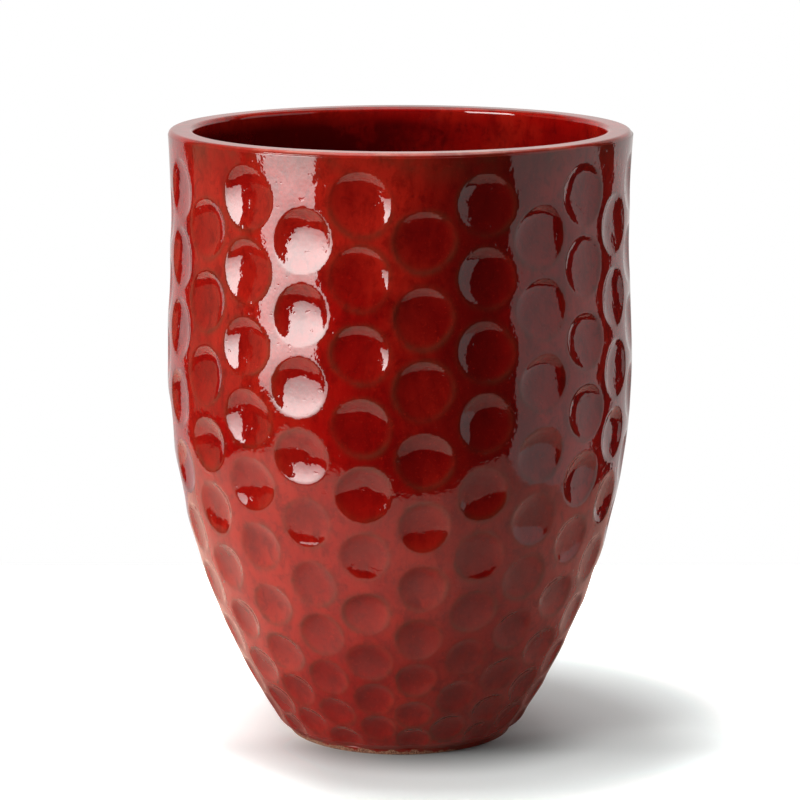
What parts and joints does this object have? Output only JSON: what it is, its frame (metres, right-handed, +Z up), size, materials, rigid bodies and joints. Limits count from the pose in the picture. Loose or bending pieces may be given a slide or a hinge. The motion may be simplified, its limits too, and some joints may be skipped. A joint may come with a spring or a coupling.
{
  "type": "flower pot",
  "caption": "Tall round glazed stoneware planter that curves in to a narrow foot, dimpled all over, with a flat thick rim and a stopper in its drain hole.",
  "frame": {"origin": "centre of the foot, on the floor that the pot stands on", "axes": "+Z up along the pot's axis; the front, as pictured, faces -Y"},
  "size_m": [0.418, 0.418, 0.55],
  "materials": {
    "red_glaze": "glossy deep red glaze, mottled, breaking to brown on edges",
    "bare_clay": "unglazed fired stoneware, matte",
    "stopper_rubber": "matte moulded rubber"
  },
  "bodies": {
    "pot": {"foot_ring": "bare_clay", "base_slab": "red_glaze", "lower_wall": "red_glaze", "upper_wall": "red_glaze", "rim_ring": "red_glaze"},
    "stopper": {"drain_stopper": "stopper_rubber"}
  },
  "joints": [
    {"name": "stopper_lift", "type": "slide", "parent": "pot", "child": "stopper", "axis": [0, 0, 1], "range_m": [0, 0.06]}
  ]
}
